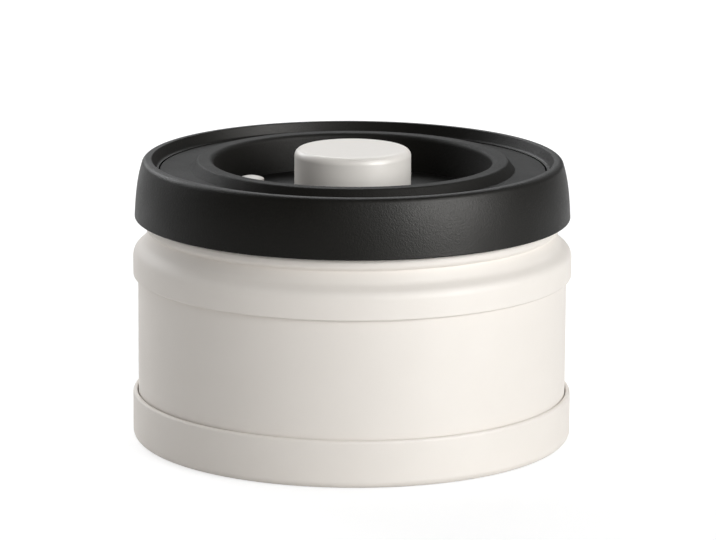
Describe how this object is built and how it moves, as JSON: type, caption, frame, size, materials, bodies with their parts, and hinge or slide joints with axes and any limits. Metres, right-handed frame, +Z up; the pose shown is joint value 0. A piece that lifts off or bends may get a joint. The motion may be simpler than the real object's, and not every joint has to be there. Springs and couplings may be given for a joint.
{
  "type": "vacuum coffee canister",
  "caption": "Low round coated-steel canister with a lift-off black lid that holds a press pump and an air release button.",
  "frame": {"origin": "centre of the canister's underside, on the surface it stands on", "axes": "+Z up the canister's axis, through the pump button; the front of the picture faces -Y, and the air release button is towards -X"},
  "size_m": [0.121, 0.121, 0.0804],
  "materials": {
    "coated_steel": "warm off-white powder coat, satin",
    "cup_steel": "fine circular brushing",
    "black_plastic": "fine-grained matte",
    "inner_plastic": "plain moulded",
    "white_plastic": "gloss moulded",
    "silicone": "soft matte",
    "spring_steel": "bright"
  },
  "bodies": {
    "can": {"body_tube": "coated_steel", "base_cap": "coated_steel", "base_pad": "silicone", "top_collar": "coated_steel", "inner_cup": "cup_steel"},
    "lid": {"lid_rim": "black_plastic", "lid_top": "black_plastic", "lid_plug": "inner_plastic", "lid_gasket": "silicone", "lid_screw_1": "spring_steel", "lid_screw_2": "spring_steel", "lid_screw_3": "spring_steel", "lid_screw_4": "spring_steel", "pump_cylinder": "inner_plastic", "cylinder_washer": "silicone", "filter_screen": "cup_steel", "inlet_valve": "silicone", "pump_spring": "spring_steel", "vent_spring": "spring_steel"},
    "pump": {"pump_button": "white_plastic", "piston": "inner_plastic", "piston_seal": "silicone", "outlet_valve": "silicone"},
    "vent": {"vent_button": "white_plastic", "vent_stem": "spring_steel", "vent_seal": "silicone"}
  },
  "joints": [
    {"name": "lid_lift", "type": "slide", "parent": "can", "child": "lid", "axis": [0, 0, 1], "range_m": [0, 0.03]},
    {"name": "pump_press", "type": "slide", "parent": "lid", "child": "pump", "axis": [0, 0, 1], "range_m": [-0.008, 0], "stiffness_N_per_m": 450, "springref_m": 0.012, "deforming": ["pump_spring"]},
    {"name": "vent_press", "type": "slide", "parent": "lid", "child": "vent", "axis": [0, 0, 1], "range_m": [-0.0015, 0], "stiffness_N_per_m": 600, "springref_m": 0.003, "deforming": ["vent_spring"]}
  ]
}
